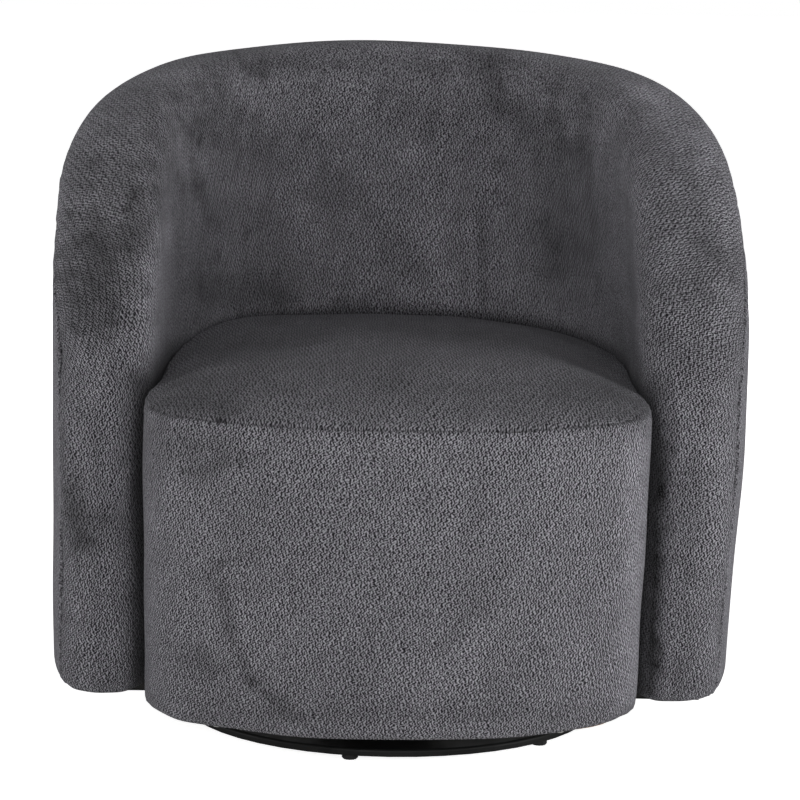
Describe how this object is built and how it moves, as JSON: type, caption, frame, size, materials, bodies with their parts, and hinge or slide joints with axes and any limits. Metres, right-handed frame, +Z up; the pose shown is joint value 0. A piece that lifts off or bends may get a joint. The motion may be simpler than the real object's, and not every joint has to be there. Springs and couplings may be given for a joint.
{
  "type": "swivel armchair",
  "caption": "Low upholstered barrel armchair: one curved wall forms back and arms round a crowned seat drum, on a flat round swivel base.",
  "frame": {"origin": "on the swivel axis at floor level", "axes": "+Z up along the swivel axis, +X to the right seen from the front, +Y towards the back of the chair; the seat opens towards -Y"},
  "size_m": [0.7398, 0.6899, 0.7135],
  "materials": {
    "chenille": "dark grey woven chenille",
    "outer_chenille": "dark grey woven chenille",
    "foam": "open-cell foam block",
    "felt": "needled felt",
    "plywood": "bare plywood",
    "pine": "planed softwood",
    "hardboard": "smooth hardboard",
    "dust_cloth": "black non-woven sheet",
    "black_steel": "semi-gloss black powder coat",
    "zinc_steel": "zinc plated",
    "nylon": "natural moulded plastic",
    "black_plastic": "moulded plastic"
  },
  "bodies": {
    "base": {"base_plate": "black_steel", "centre_pin": "zinc_steel", "glide_1": "black_plastic", "glide_2": "black_plastic", "glide_3": "black_plastic", "glide_4": "black_plastic", "glide_5": "black_plastic", "glide_6": "black_plastic", "lower_swivel_plate": "zinc_steel", "plate_bolt_1": "zinc_steel", "plate_bolt_2": "zinc_steel", "plate_bolt_3": "zinc_steel", "plate_bolt_4": "zinc_steel"},
    "ball_race": {"ball_ring": "nylon"},
    "chair": {"arm_post_left": "pine", "arm_post_right": "pine", "base_board": "plywood", "body_screw_1": "zinc_steel", "body_screw_2": "zinc_steel", "body_screw_3": "zinc_steel", "body_screw_4": "zinc_steel", "body_screw_5": "zinc_steel", "body_screw_6": "zinc_steel", "deck_rail_back": "pine", "deck_rail_front": "pine", "deck_rail_left": "pine", "deck_rail_right": "pine", "drum_floor": "plywood", "drum_foam": "foam", "drum_front_panel": "hardboard", "dust_cover": "dust_cloth", "front_band": "chenille", "inner_cover": "chenille", "outer_cover": "outer_chenille", "plate_screw_1": "zinc_steel", "plate_screw_2": "zinc_steel", "plate_screw_3": "zinc_steel", "plate_screw_4": "zinc_steel", "post_back_left": "pine", "post_back_right": "pine", "post_front_left": "pine", "post_front_right": "pine", "post_side_left": "pine", "post_side_right": "pine", "seat_cover": "chenille", "seat_foam": "foam", "seat_spring_1": "zinc_steel", "seat_spring_2": "zinc_steel", "seat_spring_3": "zinc_steel", "seat_spring_4": "zinc_steel", "seat_spring_5": "zinc_steel", "shell_foam": "foam", "shell_foot_former": "plywood", "shell_panel": "plywood", "shell_top_rail": "plywood", "shell_waist_former": "plywood", "spring_felt": "felt", "upper_swivel_plate": "zinc_steel"}
  },
  "joints": [
    {"name": "swivel", "type": "hinge", "parent": "base", "child": "chair", "pos_m": [0, 0, 0.0276], "axis": [0, 0, 1], "continuous": true},
    {"name": "ball_roll", "type": "hinge", "parent": "base", "child": "ball_race", "pos_m": [0, 0, 0.0276], "axis": [0, 0, 1], "continuous": true}
  ],
  "couplings": [
    {"joint": "ball_roll", "follows": "swivel", "ratio": 0.5}
  ]
}
